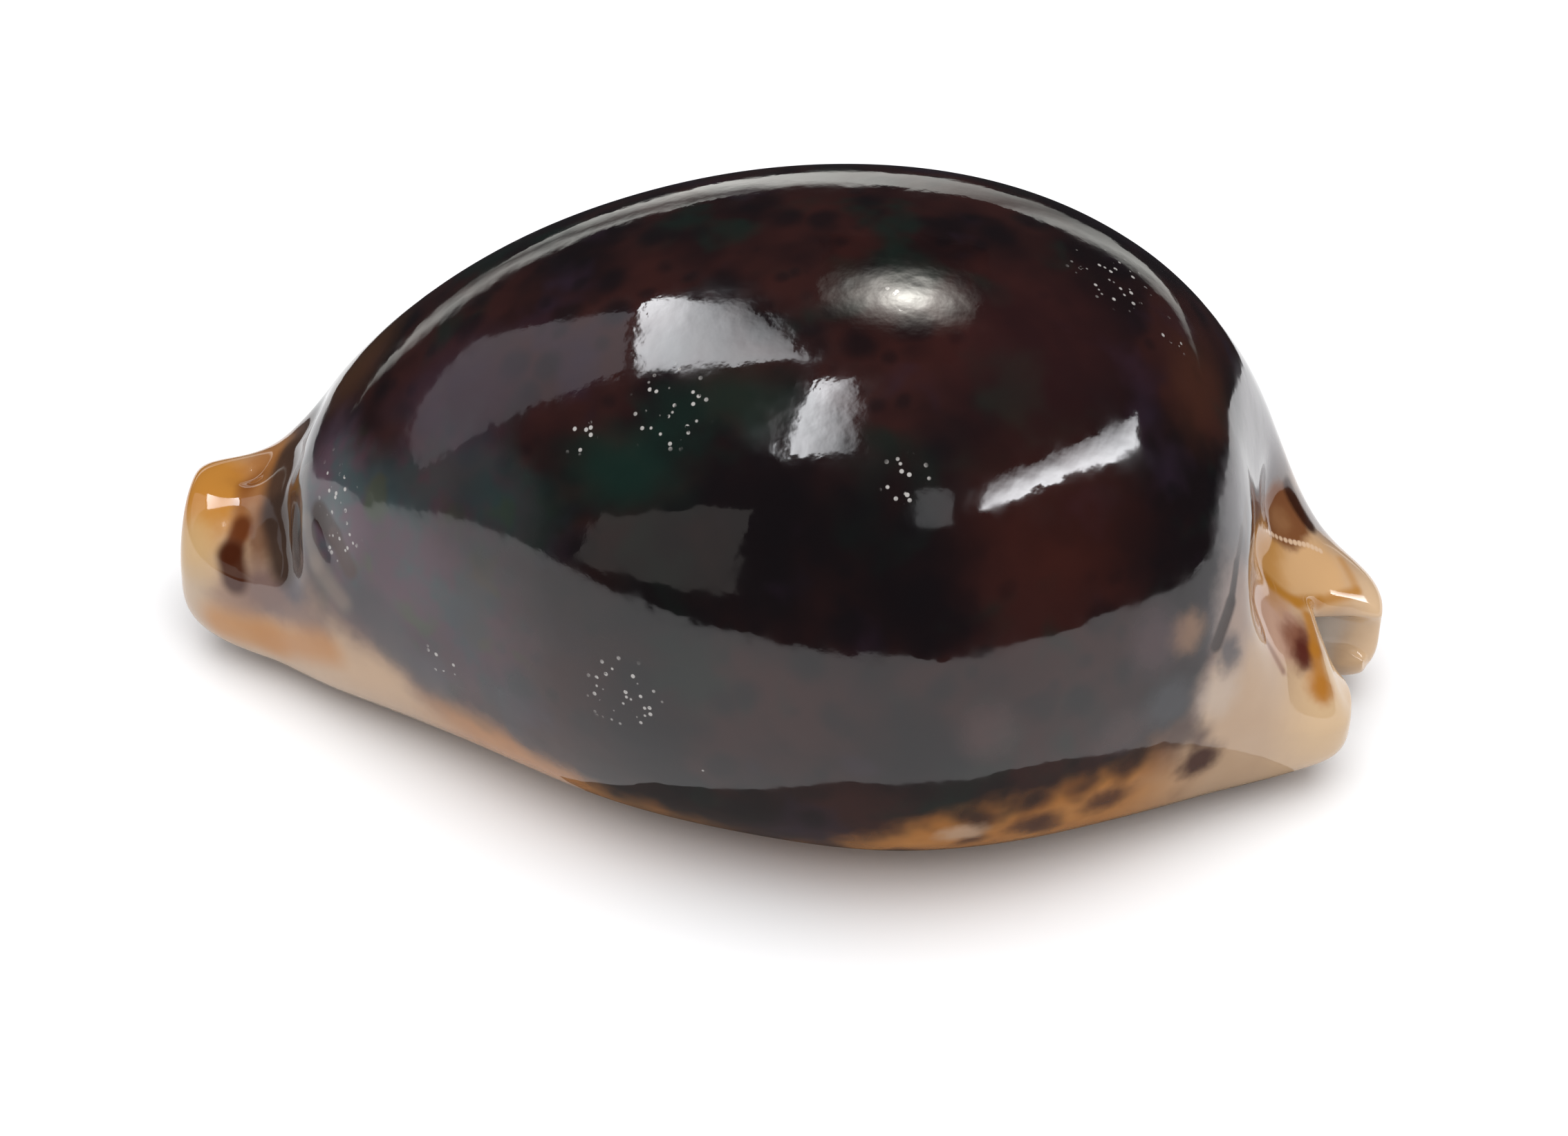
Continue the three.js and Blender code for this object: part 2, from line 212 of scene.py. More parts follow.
def half_section(t, side):
    """Skin and lining of one side, point for point, and how much of a rim the section is."""
    x, columellar, labral, crown, columellar_hip, labral_hip, base, slit, gap, chamber, full = station(t)
    width = labral if side > 0 else columellar
    hip = (side * width, labral_hip if side > 0 else columellar_hip)
    lip = slit + side * gap
    edge = base + LIP_RADIUS
    foot = (lip + side * min(LIP_RADIUS, (width - side * lip) / 2), base)

    # skin, from the lip under the base, out to the hip and up to the crown
    skin = [(lip, edge)]
    skin += quarter((lip, edge), foot, 2, LIP_POINTS, False)
    skin += quarter(foot, hip, BASE_SQUARENESS, BASE_POINTS, True, 1.5)
    skin += quarter(hip, (0, crown), DOME_SQUARENESS, DOME_POINTS, False)

    # lining of the canals and of the body chamber
    start = edge + LIP_TOP
    roof = crown - CANAL_ROOF
    spring = max(roof - gap, start + 0.3)
    wall = (lerp(lip, side * (width - SIDE_WALL), chamber), lerp(spring, hip[1] + 1, chamber))
    vault = (lerp(slit, 0, chamber), lerp(roof, crown - BACK_WALL, chamber))
    lining = []
    for k in range(LOW_POINTS + 1):
        share = k / LOW_POINTS
        angle = share * math.pi / 2
        out = lerp(share, math.sin(angle) ** 1.3, chamber)
        up = lerp(share, 1 - max(math.cos(angle), 0.0) ** 0.9, chamber)
        lining.append((lerp(lip + side * LINING_IN, wall[0], out), lerp(start, wall[1], up)))
    lining += quarter(wall, vault, DOME_SQUARENESS, DOME_POINTS, False)

    # the lobes at the posterior end stand out past the notch between them, and up to there the lining
    # goes back with the skin that is right over it
    outer_back, inner_back = [], []
    tip = ease(x, LOBES_FROM, END_AT)
    drawn_back = min(max((x - NOTCH_FROM) / (END_AT - NOTCH_FROM), 0), 1)
    notch = NOTCH_DEPTH * drawn_back**NOTCH_BEND
    lobe = 0 if side > 0 else NEAR_LOBE_SHORT * tip
    for k in range(LOW_POINTS + DOME_POINTS + 1):
        share = k / LOW_POINTS
        foot_share = 1 - ease(share, 0, 0.9)
        if x < 0:
            outer_back.append(SNOUT_FOOT * ease(-x, SNOUT_FROM, END_AT) * foot_share)
            inner_back.append(outer_back[-1])
            continue
        if k <= LOW_POINTS:
            back = lobe + LOBE_FOOT[side] * tip * foot_share
        else:
            back = lerp(lobe, notch, notch_rise((k - LOW_POINTS) / DOME_POINTS, side))
        out = min(abs(lining[k][0]) / width, 1) ** (DOME_SQUARENESS / 2)
        overhead = lerp(lobe, notch, notch_rise(2 / math.pi * math.acos(out), side))
        held = (1 - ease(x, *LINING_FREE)) * ease(share, 0.3, 1)
        outer_back.append(back)
        inner_back.append(lerp(back, max(back, overhead), held))

    # teeth, which fade out past the last one
    wave = 0.5 + 0.5 * math.cos(2 * math.pi * (x + TOOTH_SPAN) / TOOTH_PITCH)
    toothed = 1 - ease(abs(x), TOOTH_SPAN - 1, TOOTH_SPAN + 1.5)
    tooth = lerp(TOOTH_GROOVE, TOOTH_CREST, wave) * toothed

    outside, inside = [], []
    sign = 1 if x > 0 else -1
    for k, (skin_at, lining_at) in enumerate(zip(skin, lining)):
        outer = Vector((x - sign * outer_back[k], *skin_at))
        inner = Vector((x - sign * inner_back[k], *lining_at))
        inward = (Vector(HOLLOWS_TOWARD) - outer) * Vector((0, 1, 1))
        near = [(at, radius, depth) for at, radius, depth in HOLLOWS if abs(at[0] - x) < 3 * radius]
        deep = sum(depth * bell(outer, at, radius) for at, radius, depth in near)
        outer += inward.normalized() * deep
        outer += scooped(outer)
        inner += scooped(inner)
        if k < TOOTH_REACH:
            centre = Vector((outer.x, lip + side * LIP_RADIUS, edge))
            outer += (outer - centre).normalized() * tooth * min(1, 1.4 * (1 - k / TOOTH_REACH))
        if side > 0:
            at, radius, depth = SPOON
            inner.y += depth * bell(inner, at, radius)
        middle = (outer + inner) / 2
        outer = middle.lerp(outer, full)
        outer.z = max(outer.z, 0)
        outside.append(outer)
        inside.append(middle.lerp(inner, full))
    return outside, inside, ease(full, 0.97, 0.82)


def wall_ring(t):
    labral_skin, labral_lining, rim = half_section(t, 1)
    columellar_skin, columellar_lining, rim = half_section(t, -1)
    return labral_skin + columellar_skin[-2::-1] + columellar_lining + labral_lining[-2::-1], rim


first_tooth, last_tooth = along(-TOOTH_SPAN), along(TOOTH_SPAN)
between = round(2 * TOOTH_SPAN / RING_STEP)
stops = [first_tooth * k / END_RINGS for k in range(END_RINGS)]
stops += [along(lerp(-TOOTH_SPAN, TOOTH_SPAN, k / between)) for k in range(between)]
stops += [lerp(last_tooth, len(STATIONS) - 1, k / END_RINGS) for k in range(END_RINGS + 1)]
sections = [wall_ring(t) for t in stops]

# The CAD model stands on the middle of its box, and this one is set on the same place.
every = [point for section, rim in sections for point in section]
middle_y = (max(p.y for p in every) + min(p.y for p in every)) / 2
low_z = min(p.z for p in every)

ring_size = len(sections[0][0])
skin_size = 2 * (LOW_POINTS + DOME_POINTS) + 1
bm = bmesh.new()
skin_layer = bm.verts.layers.float.new("skin")
ring = bmesh.ops.create_circle(bm, segments=ring_size, radius=0.01)["verts"]


def set_ring(verts, section, rim):
    for k, (vert, point) in enumerate(zip(verts, section)):
        vert.co = Vector((point.x, point.y - middle_y, point.z - low_z)) / 1000
        from_lip = min(k, skin_size - 1 - k)
        shown = ease(from_lip, 2, LIP_POINTS + 4) if k < skin_size else 0
        vert[skin_layer] = max(shown, rim)


set_ring(ring, *sections[0])
for section, rim in sections[1:]:
    edges = [bm.edges.get((ring[k], ring[(k + 1) % ring_size])) for k in range(ring_size)]
    grown = bmesh.ops.extrude_edge_only(bm, edges=edges)["geom"]
    fresh = {v for v in grown if isinstance(v, bmesh.types.BMVert)}
    ring = [next(e.other_vert(v) for e in v.link_edges if e.other_vert(v) in fresh) for v in ring]
    set_ring(ring, section, rim)
bmesh.ops.remove_doubles(bm, verts=bm.verts, dist=1e-7)
bmesh.ops.recalc_face_normals(bm, faces=bm.faces)
for face in bm.faces:
    face.smooth = True
mesh = bpy.data.meshes.new("cowrie_shell")
bm.to_mesh(mesh)
bm.free()
shell = bpy.data.objects.new("cowrie_shell", mesh)
bpy.context.scene.collection.objects.link(shell)
rounding = shell.modifiers.new("rounding", "SUBSURF")
rounding.levels = rounding.render_levels = 1

# Enamel: clear glaze over blurred brown-black spots on maroon, which thin out to amber and then
# cream towards the margins and both ends.
enamel = bpy.data.materials.new("enamel")
enamel.use_nodes = True
tree = enamel.node_tree
tree.nodes.clear()


def node(kind, inputs=(), **settings):
    made = tree.nodes.new(kind)
    for name, value in settings.items():
        setattr(made, name, value)
    for socket, value in dict(inputs).items():
        if isinstance(value, bpy.types.NodeSocket):
            tree.links.new(value, made.inputs[socket])
        else:
            made.inputs[socket].default_value = value
    return made


place = node("ShaderNodeTexCoord").outputs["Object"]
mm = node("ShaderNodeMapping", {"Vector": place, "Scale": (1000, 1000, 1000)}).outputs["Vector"]
along_x, across_y, up_z = node("ShaderNodeSeparateXYZ", {"Vector": mm}).outputs[:3]
skin_share = node("ShaderNodeAttribute", attribute_name="skin").outputs["Fac"]


def noise(scale, detail=2.0, roughness=0.5, vector=mm):
    sockets = {"Vector": vector, "Scale": scale, "Detail": detail, "Roughness": roughness}
    return node("ShaderNodeTexNoise", sockets)


def cells(scale, randomness, vector):
    """Distance to the nearest of a scatter of points."""
    sockets = {"Vector": vector, "Scale": scale, "Randomness": randomness}
    return node("ShaderNodeTexVoronoi", sockets, feature="F1").outputs["Distance"]


def chain(operation, values):
    total = values[0]
    for value in values[1:]:
        total = node("ShaderNodeMath", {0: total, 1: value}, operation=operation).outputs[0]
    return total


def added(*values):
    return chain("ADD", values)


def times(*values):
    return chain("MULTIPLY", values)


def most(*values):
    return chain("MAXIMUM", values)


def least(*values):
    return chain("MINIMUM", values)


def off_middle(value, reach):
    """Noise from 0 to 1 as a length from -reach / 2 to reach / 2."""
    return times(added(value, -0.5), reach)


def fade(value, low, high, to_low=0.0, to_high=1.0):
    sockets = {"Value": value, "From Min": low, "From Max": high, "To Min": to_low, "To Max": to_high}
    return node("ShaderNodeMapRange", sockets, interpolation_type="SMOOTHSTEP").outputs["Result"]


def mixed(share, under, over, blend="MIX"):
    made = node("ShaderNodeMix", data_type="RGBA", blend_type=blend)
    for socket, value in zip((made.inputs[0], made.inputs[6], made.inputs[7]), (share, under, over)):
        if isinstance(value, bpy.types.NodeSocket):
            tree.links.new(value, socket)
        elif isinstance(value, tuple):
            socket.default_value = (*value, 1)
        else:
            socket.default_value = value
    return made.outputs[2]


def profile(value, low, high, points):
    """A curve through points (value, height), for values from low to high and heights from 0 to 1."""
    share = node("ShaderNodeMapRange", {"Value": value, "From Min": low, "From Max": high})
    made = node("ShaderNodeFloatCurve", {"Value": share.outputs["Result"]})
    curve = made.mapping.curves[0]
    for x, y in points[1:-1]:
        curve.points.new((x - low) / (high - low), y)
    curve.points[0].location = (0, points[0][1])
    curve.points[-1].location = (1, points[-1][1])
    made.mapping.update()
    return made.outputs[0]


def bend(amount, scale):
    """Object coordinates in mm, pushed about by noise."""
    swirl = noise(scale, 2).outputs["Color"]
    push = node("ShaderNodeVectorMath", {0: swirl, 1: (0.5, 0.5, 0.5)}, operation="SUBTRACT").outputs[0]
    far = node("ShaderNodeVectorMath", {0: push, 3: amount}, operation="SCALE").outputs[0]
    return node("ShaderNodeVectorMath", {0: mm, 1: far}, operation="ADD").outputs[0]


soft_bend = bend(2.4, 0.35)
fine_bend = bend(0.9, 1.1)
wide_bend = bend(3.0, 0.2)
spot_bend = bend(1.0, 0.45)


def blotch(at, radii, soft=0.5, vector=soft_bend, share=1.0):
    """The share inside an ellipsoid round a point in mm, 0 outside, with a soft rim."""
    shrink = tuple(1 / r for r in radii)
    shift = tuple(-a / r for a, r in zip(at, radii))
    scaled = node("ShaderNodeVectorMath", {0: vector, 1: shrink, 2: shift}, operation="MULTIPLY_ADD")
    far = node("ShaderNodeVectorMath", {0: scaled.outputs[0]}, operation="LENGTH").outputs["Value"]
    return fade(far, 1 - soft, 1 + soft, share, 0.0)


def distance(at, vector):
    return node("ShaderNodeVectorMath", {0: vector, 1: at}, operation="DISTANCE").outputs["Value"]


def stroke(start, end, radius, soft, share):
    """The share inside a rod between two points in mm, 0 outside, with a soft rim."""
    run = Vector(end) - Vector(start)
    away = node("ShaderNodeVectorMath", {0: mm, 1: start}, operation="SUBTRACT").outputs[0]
    gone = node("ShaderNodeVectorMath", {0: away, 1: run / run.length_squared}, operation="DOT_PRODUCT")
    gone = node("ShaderNodeClamp", {"Value": gone.outputs["Value"]}).outputs[0]
    near = node("ShaderNodeVectorMath", {0: tuple(run), 3: gone}, operation="SCALE").outputs[0]
    far = node("ShaderNodeVectorMath", {0: away, 1: near}, operation="DISTANCE").outputs["Value"]
    return fade(far, radius * (1 - soft), radius * (1 + soft), share, 0.0)


wander = noise(0.16, 3).outputs["Fac"]
edge_wander = noise(0.5, 2).outputs["Fac"]
grain = noise(1.6, 3).outputs["Fac"]
to_posterior = times(fade(along_x, -8.0, 8.0), fade(along_x, 25.0, 20.0))

# height where the dark back begins, along x, as a share of HIGHEST; over the neck of the posterior end
# it reaches lower on the labral side
HIGHEST = 40.0
dark_from = profile(along_x, -36, 36, [
    (-36, 1.0), (-31.5, 0.62), (-29, 0.31), (-26, 0.27), (-22, 0.25), (-17, 0.19), (-12, 0.15),
    (-5, 0.115), (2, 0.10), (7, 0.14), (11, 0.19), (15, 0.20), (20, 0.215), (23, 0.25), (24.7, 0.32),
    (26, 0.45), (28.5, 0.62), (31, 0.85), (36, 1.0),
])
neck = times(fade(along_x, 22.5, 26.0), fade(across_y, -8.0, -2.0))
above = added(
    up_z,
    times(dark_from, -HIGHEST),
    off_middle(wander, 3.5),
    off_middle(edge_wander, 3.0),
    times(neck, 6.0),
)
dark = fade(above, -1.6, 2.0)

cream = mixed(wander, (0.35, 0.220, 0.128), (0.46, 0.325, 0.215))
amber = mixed(edge_wander, (0.26, 0.090, 0.015), (0.46, 0.205, 0.055))
dusk = mixed(wander, (0.085, 0.052, 0.042), (0.150, 0.092, 0.070))

# the ground of the back: maroon to brown-black, with faint violet and green clouds
redness = fade(noise(0.10, 3, 0.55, wide_bend).outputs["Fac"], 0.38, 0.64)
ground = mixed(redness, (0.0065, 0.0042, 0.0048), (0.025, 0.0086, 0.0076))
clouds = noise(0.13, 3, 0.55, bend(5.0, 0.12)).outputs["Fac"]
ground = mixed(fade(clouds, 0.55, 0.70, 0.0, 0.75), ground, (0.018, 0.0105, 0.018))
ground = mixed(fade(clouds, 0.46, 0.32, 0.0, 0.75), ground, (0.0060, 0.0125, 0.0100))

# blurred round spots under the glaze, in two sizes
large_spots = fade(cells(0.29, 0.8, spot_bend), 0.14, 0.44, 1.0, 0.0)
small_spots = fade(cells(0.47, 0.95, spot_bend), 0.08, 0.36, 0.75, 0.0)
back = mixed(times(most(large_spots, small_spots), 0.75), ground, (0.0055, 0.0042, 0.0050))

# where the back runs to black, to red, to green and to violet: middle, radii, colour, share
for at, radii, paint, share in [
    ((4.0, -16.5, 25.0), (8.0, 4.5, 5.0), (0.0045, 0.0035, 0.0040), 0.75),
    ((-8.0, -17.0, 19.0), (7.0, 4.0, 4.0), (0.0045, 0.0040, 0.0040), 0.60),
    ((16.0, -13.0, 25.0), (5.0, 4.0, 5.0), (0.0380, 0.0095, 0.0065), 0.50),
    ((14.0, -5.0, 30.0), (6.0, 5.0, 3.0), (0.0300, 0.0085, 0.0085), 0.45),
    ((23.2, -1.2, 25.7), (2.0, 3.5, 3.0), (0.0550, 0.0190, 0.0100), 0.55),
    ((-13.3, -12.8, 21.2), (3.2, 2.2, 2.0), (0.0055, 0.0170, 0.0125), 0.70),
    ((-8.0, -13.0, 25.4), (4.0, 2.2, 2.0), (0.0055, 0.0190, 0.0140), 0.70),
    ((-2.0, -11.0, 29.4), (3.6, 2.0, 1.6), (0.0055, 0.0170, 0.0125), 0.65),
    ((-18.0, -6.2, 24.0), (5.0, 3.5, 3.2), (0.0240, 0.0150, 0.0240), 0.60),
]:
    back = mixed(blotch(at, radii, 0.7, share=share), back, paint)

# from cream over a dusky band, or at the posterior end an amber one, into the dark back
colour = mixed(fade(above, -4.5, -0.5), cream, mixed(to_posterior, dusk, amber))
# the low margin is amber, with soft brown spots towards the posterior end
low_band = times(fade(up_z, 9.5, 6.0), fade(up_z, 1.0, 4.0))
margin = times(low_band, fade(along_x, -21.0, -15.0), fade(along_x, 26.5, 20.0), 0.95)
colour = mixed(margin, colour, amber)
stray = fade(cells(0.26, 0.8, soft_bend), 0.12, 0.48, 1.0, 0.0)
stray = times(stray, fade(above, -9.5, -3.5), fade(along_x, -8.0, 8.0), fade(up_z, 1.5, 4.0), 0.9)
colour = mixed(stray, colour, (0.048, 0.015, 0.008))
colour = mixed(dark, colour, back)

# painted sheen over the dark flank near the anterior end: a grey reflection tinted rose, blue-green and
# olive
sheen = noise(0.24, 3, 0.6).outputs["Fac"]
painted_sheen = mixed(fade(sheen, 0.40, 0.62), (0.098, 0.062, 0.080), (0.055, 0.080, 0.084))
green_sheen = noise(0.34, 2, 0.5, wide_bend).outputs["Fac"]
painted_sheen = mixed(fade(green_sheen, 0.56, 0.70), painted_sheen, (0.072, 0.084, 0.062))
for at, radii, share in [
    ((-25.5, -6.0, 15.5), (3.4, 3.4, 4.0), 0.75),
    ((-21.5, -9.8, 14.5), (5.0, 4.0, 5.0), 0.60),
    ((-16.0, -13.5, 13.0), (5.0, 4.0, 5.0), 0.35),
    ((-16.0, -9.0, 21.0), (5.0, 6.0, 2.5), 0.25),
]:
    colour = mixed(blotch(at, radii, 0.6, share=share), colour, painted_sheen)

# anterior end: amber rim, brown stripe and a brown trough behind it with painted shade in the trough and
# in the creases beside it, violet patch and amber under them.
# Rows of blotches are middle, radii, softness, colour and share; rows of strokes are both ends, radius,
# softness, colour and share.
snout = [
    ((-33.6, -0.4, 10.4), (2.4, 3.8, 2.4), 0.45, (0.40, 0.165, 0.022), 0.95),
    ((-34.3, -3.7, 7.8), (1.6, 1.9, 2.6), 0.7, (0.48, 0.310, 0.140), 0.85),
    ((-33.7, -4.6, 5.4), (1.6, 1.6, 1.8), 0.7, (0.40, 0.305, 0.220), 0.6),
    ((-25.0, 3.0, 18.5), (3.2, 4.0, 3.0), 0.6, (0.060, 0.026, 0.011), 0.8),
    ((-30.0, -3.6, 10.2), (1.1, 2.6, 1.9), 0.6, (0.125, 0.056, 0.030), 0.9),
    ((-30.5, -0.6, 11.2), (1.3, 2.2, 1.3), 0.7, (0.230, 0.090, 0.026), 0.8),
    ((-31.0, 1.8, 11.2), (1.6, 2.6, 1.6), 0.6, (0.280, 0.105, 0.022), 0.85),
    ((-29.2, -6.4, 7.8), (2.9, 1.8, 1.7), 0.6, (0.128, 0.080, 0.074), 0.9),
    ((-31.3, -5.8, 6.2), (1.9, 1.4, 1.2), 0.7, (0.210, 0.120, 0.085), 0.75),
    ((-26.6, -8.3, 7.9), (1.9, 1.6, 1.3), 0.7, (0.140, 0.080, 0.064), 0.8),
    ((-27.5, -7.2, 9.3), (1.2, 1.1, 0.9), 0.7, (0.050, 0.044, 0.056), 0.85),
    ((-22.6, -10.5, 6.4), (3.0, 2.0, 1.8), 0.7, (0.45, 0.300, 0.185), 0.7),
    ((-22.4, -10.5, 11.3), (1.6, 1.3, 1.5), 0.6, (0.042, 0.038, 0.042), 0.85),
    ((-20.9, -11.4, 10.0), (1.5, 1.3, 1.4), 0.7, (0.050, 0.044, 0.048), 0.8),
    ((-18.7, -12.7, 8.8), (1.8, 1.4, 1.5), 0.7, (0.048, 0.042, 0.050), 0.8),
]
for at, radii, soft, paint, share in snout:
    colour = mixed(blotch(at, radii, soft, fine_bend, share), colour, paint)
snout_strokes = [
    ((-32.4, -5.2, 4.2), (-29.1, -6.6, 4.6), 1.3, 0.8, (0.40, 0.170, 0.036), 0.85),
    ((-29.1, -6.6, 4.6), (-25.4, -9.2, 6.6), 1.2, 0.8, (0.38, 0.160, 0.036), 0.85),
    ((-31.5, 1.0, 10.9), (-31.3, -3.3, 9.7), 0.6, 0.7, (0.190, 0.060, 0.012), 0.85),
    ((-31.3, -3.0, 9.9), (-31.7, -4.4, 8.8), 0.65, 0.5, (0.085, 0.020, 0.005), 0.9),
    ((-31.7, -4.4, 8.8), (-31.3, -5.3, 7.8), 0.90, 0.45, (0.042, 0.009, 0.003), 0.95),
    # the next four strokes darken the trough behind the snout and the crease at its side: brown, with
    # painted shade
    ((-29.4, 1.5, 12.5), (-29.0, -3.2, 11.3), 1.15, 0.5, (0.052, 0.028, 0.018), 0.95),
    ((-29.0, -3.2, 11.3), (-28.1, -5.8, 9.9), 1.3, 0.45, (0.036, 0.021, 0.015), 0.95),
    ((-28.0, -3.0, 13.4), (-27.6, -4.9, 11.8), 0.6, 0.5, (0.036, 0.021, 0.015), 0.9),
    ((-27.6, -4.9, 11.8), (-27.2, -6.9, 10.6), 0.6, 0.4, (0.030, 0.016, 0.011), 0.9),
    ((-27.3, -3.4, 15.0), (-26.7, -5.9, 13.4), 0.5, 0.7, (0.135, 0.118, 0.110), 0.6),
    ((-26.7, -5.9, 13.4), (-25.9, -8.0, 12.0), 0.5, 0.7, (0.150, 0.125, 0.110), 0.7),
    ((-25.9, -8.0, 12.0), (-24.1, -9.6, 10.8), 0.6, 0.8, (0.170, 0.130, 0.105), 0.6),
    # these two strokes are painted shade in the two creases beside the collar
    ((-25.9, -6.3, 14.4), (-24.8, -7.7, 14.0), 0.70, 0.35, (0.022, 0.011, 0.008), 0.97),
    ((-24.8, -7.7, 14.0), (-23.7, -9.3, 13.0), 0.60, 0.45, (0.050, 0.028, 0.025), 0.95),
]

# posterior end: painted grey reflection on the neck, amber bowl, pinkish teardrop over the spire with a
# brown core, cream lobes
stern = [
    # the first four rows are a painted reflection: the grey sheen of bright surroundings on the neck
    ((27.0, 4.5, 18.2), (2.4, 4.0, 4.8), 0.4, (0.150, 0.140, 0.145), 0.9),
    ((28.0, 7.0, 14.8), (1.8, 2.4, 3.0), 0.5, (0.150, 0.140, 0.145), 0.9),
    ((30.4, 7.0, 11.2), (1.6, 1.4, 3.2), 0.6, (0.170, 0.155, 0.155), 0.85),
    ((25.7, -4.6, 20.3), (1.2, 3.6, 2.4), 0.6, (0.130, 0.120, 0.125), 0.7),
    ((33.0, -5.6, 6.2), (3.2, 5.0, 4.4), 0.7, (0.58, 0.400, 0.225), 0.8),
    ((34.8, 2.8, 5.4), (1.8, 3.6, 4.0), 0.6, (0.62, 0.430, 0.260), 0.85),
    ((28.3, 0.6, 12.2), (1.9, 2.8, 2.6), 0.35, (0.42, 0.205, 0.055), 0.95),
    ((31.0, 2.0, 9.9), (2.8, 3.4, 2.1), 0.4, (0.54, 0.325, 0.155), 0.95),
    ((28.8, 4.9, 12.1), (2.3, 2.1, 1.9), 0.22, (0.150, 0.052, 0.017), 0.96),
    ((28.6, 4.4, 12.1), (0.8, 0.8, 0.7), 0.7, (0.240, 0.115, 0.050), 0.7),
    ((28.7, -3.9, 11.6), (2.2, 2.5, 2.8), 0.3, (0.44, 0.270, 0.195), 0.9),
    ((28.4, -1.9, 11.8), (0.9, 0.9, 2.0), 0.7, (0.40, 0.200, 0.075), 0.7),
    ((30.2, -3.8, 10.0), (1.4, 1.5, 1.5), 0.6, (0.170, 0.060, 0.032), 0.9),
    ((30.5, -4.2, 9.5), (0.9, 1.1, 0.9), 0.6, (0.070, 0.014, 0.009), 0.95),
    ((31.7, -5.3, 8.1), (0.9, 0.8, 1.0), 0.7, (0.34, 0.130, 0.018), 0.9),
    ((25.8, -10.9, 11.9), (1.6, 1.4, 1.6), 0.7, (0.44, 0.350, 0.280), 0.7),
    ((23.2, -13.2, 12.7), (1.7, 1.4, 1.5), 0.6, (0.036, 0.036, 0.040), 0.85),
    ((26.3, -8.6, 15.8), (1.3, 2.4, 3.6), 0.6, (0.240, 0.185, 0.165), 0.75),
    ((26.1, -9.8, 13.9), (0.8, 0.9, 1.2), 0.6, (0.060, 0.056, 0.062), 0.85),
    ((23.7, -11.6, 16.6), (1.3, 1.1, 1.1), 0.7, (0.230, 0.125, 0.070), 0.7),
    ((25.2, -11.8, 7.3), (1.4, 1.3, 1.2), 0.6, (0.040, 0.013, 0.011), 0.95),
    ((23.9, -12.8, 10.2), (1.5, 1.3, 1.0), 0.6, (0.050, 0.024, 0.016), 0.85),
    ((13.6, -19.2, 14.6), (1.7, 1.2, 1.6), 0.7, (0.066, 0.038, 0.036), 0.45),
    ((22.1, -13.1, 17.1), (1.8, 1.4, 2.0), 0.7, (0.060, 0.034, 0.038), 0.6),
    ((20.8, -15.2, 12.0), (2.0, 1.4, 1.4), 0.7, (0.066, 0.038, 0.036), 0.45),
    ((20.1, -15.2, 6.9), (1.7, 1.3, 1.0), 0.7, (0.048, 0.016, 0.010), 0.9),
    ((16.2, -17.4, 6.6), (1.6, 1.2, 0.9), 0.7, (0.050, 0.018, 0.010), 0.85),
    ((12.4, -19.1, 6.8), (1.3, 1.0, 0.8), 0.6, (0.40, 0.270, 0.180), 0.8),
]
for at, radii, soft, paint, share in stern:
    colour = mixed(blotch(at, radii, soft, fine_bend, share), colour, paint)
stern_strokes = [
    # the first five strokes are painted shade along the groove over the spire
    ((26.4, -2.4, 19.3), (26.2, -5.2, 19.0), 0.22, 0.6, (0.070, 0.050, 0.042), 0.8),
    ((26.2, -5.2, 19.0), (26.1, -7.1, 18.1), 0.28, 0.4, (0.030, 0.016, 0.012), 0.95),
    ((26.1, -7.1, 18.1), (26.0, -8.6, 16.5), 0.34, 0.4, (0.022, 0.011, 0.008), 0.95),
    ((26.0, -8.6, 16.5), (25.4, -10.2, 14.8), 0.50, 0.35, (0.022, 0.011, 0.008), 0.95),
    ((26.4, -4.0, 18.8), (26.5, -5.1, 18.1), 0.22, 0.5, (0.060, 0.036, 0.026), 0.9),
    ((27.3, -0.4, 13.6), (28.3, -0.8, 11.7), 0.5, 0.8, (0.34, 0.140, 0.020), 0.85),
    ((28.3, -0.8, 11.7), (29.9, -0.8, 10.4), 0.45, 0.8, (0.36, 0.150, 0.018), 0.9),
    ((29.9, -0.8, 10.4), (31.3, 1.1, 8.9), 0.4, 0.8, (0.37, 0.155, 0.020), 0.9),
    ((31.3, 1.1, 8.9), (33.5, 3.0, 8.5), 0.32, 0.8, (0.38, 0.170, 0.035), 0.85),
    ((33.5, 3.0, 8.5), (32.4, 4.9, 9.1), 0.28, 0.9, (0.38, 0.170, 0.035), 0.5),
    ((30.6, -1.4, 9.9), (31.2, -3.6, 9.3), 0.42, 0.7, (0.37, 0.150, 0.018), 0.85),
    ((31.2, -3.6, 9.3), (31.9, -5.6, 7.9), 0.50, 0.8, (0.36, 0.140, 0.018), 0.8),
    ((28.7, 6.9, 12.6), (30.4, 5.9, 10.7), 0.55, 0.5, (0.028, 0.008, 0.004), 0.95),
    ((27.3, -2.4, 13.8), (27.3, -4.3, 13.2), 0.26, 0.7, (0.200, 0.080, 0.030), 0.85),
    ((27.3, -4.3, 13.2), (28.2, -6.2, 12.2), 0.26, 0.7, (0.200, 0.080, 0.030), 0.85),
    ((28.2, -6.2, 12.2), (29.5, -6.4, 10.0), 0.26, 0.7, (0.200, 0.080, 0.030), 0.85),
    ((29.5, -6.4, 10.0), (31.0, -6.1, 8.5), 0.16, 0.7, (0.180, 0.080, 0.045), 0.6),
]
for start, end, radius, soft, paint, share in snout_strokes + stern_strokes:
    colour = mixed(stroke(start, end, radius, soft, share), colour, paint)

